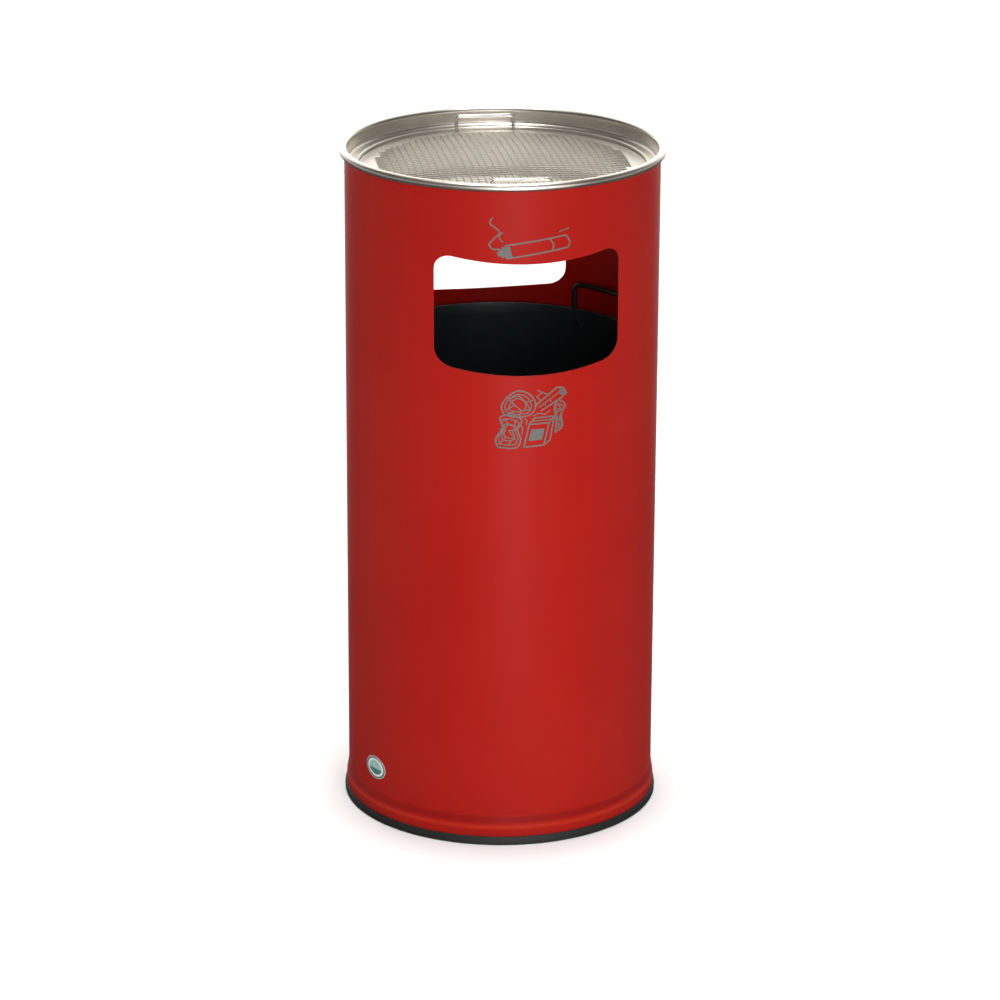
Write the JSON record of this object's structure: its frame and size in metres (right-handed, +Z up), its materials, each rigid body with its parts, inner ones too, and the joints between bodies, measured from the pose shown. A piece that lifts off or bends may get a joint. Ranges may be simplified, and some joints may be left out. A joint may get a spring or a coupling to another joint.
{
  "type": "ashtray bin",
  "caption": "Round sheet steel litter bin with openings front and back, a lift-off stainless ashtray bowl with a sieve, and a lift-out liner.",
  "frame": {"origin": "middle of the underside, on the ground", "axes": "+Z up along the shell's axis; the front opening, with the printed symbols, faces -Y; +X is to the right of a person facing that opening"},
  "size_m": [0.3104, 0.3104, 0.655],
  "materials": {
    "shell_paint": "satin",
    "ring_rubber": "matte",
    "print_grey": "matte",
    "sticker_film": "gloss",
    "stainless": "satin",
    "sieve_stainless": "satin",
    "wire_stainless": "polished",
    "liner_paint": "satin",
    "handle_paint": "satin",
    "rivet_steel": "satin"
  },
  "bodies": {
    "housing": {"body_shell": "shell_paint", "floor_plate": "shell_paint", "base_ring": "ring_rubber", "cigarette_label": "print_grey", "litter_label": "print_grey", "oval_sticker": "sticker_film"},
    "bowl": {"ashtray_bowl": "stainless"},
    "sieve": {"sieve_disc": "sieve_stainless", "sieve_handle_front": "wire_stainless", "sieve_handle_back": "wire_stainless"},
    "liner": {"liner_wall": "liner_paint", "liner_base": "liner_paint", "liner_handle_right": "handle_paint", "liner_handle_left": "handle_paint", "liner_rivets": "rivet_steel"}
  },
  "joints": [
    {"name": "bowl_lift", "type": "slide", "parent": "housing", "child": "bowl", "axis": [0, 0, 1], "range_m": [0, 0.66]},
    {"name": "sieve_lift", "type": "slide", "parent": "bowl", "child": "sieve", "axis": [0, 0, 1], "range_m": [0, 0.1]},
    {"name": "liner_lift", "type": "slide", "parent": "housing", "child": "liner", "axis": [0, 0, 1], "range_m": [0, 0.66]}
  ],
  "couplings": [
    {"joint": "liner_lift", "follows": "bowl_lift", "ratio": 1}
  ]
}
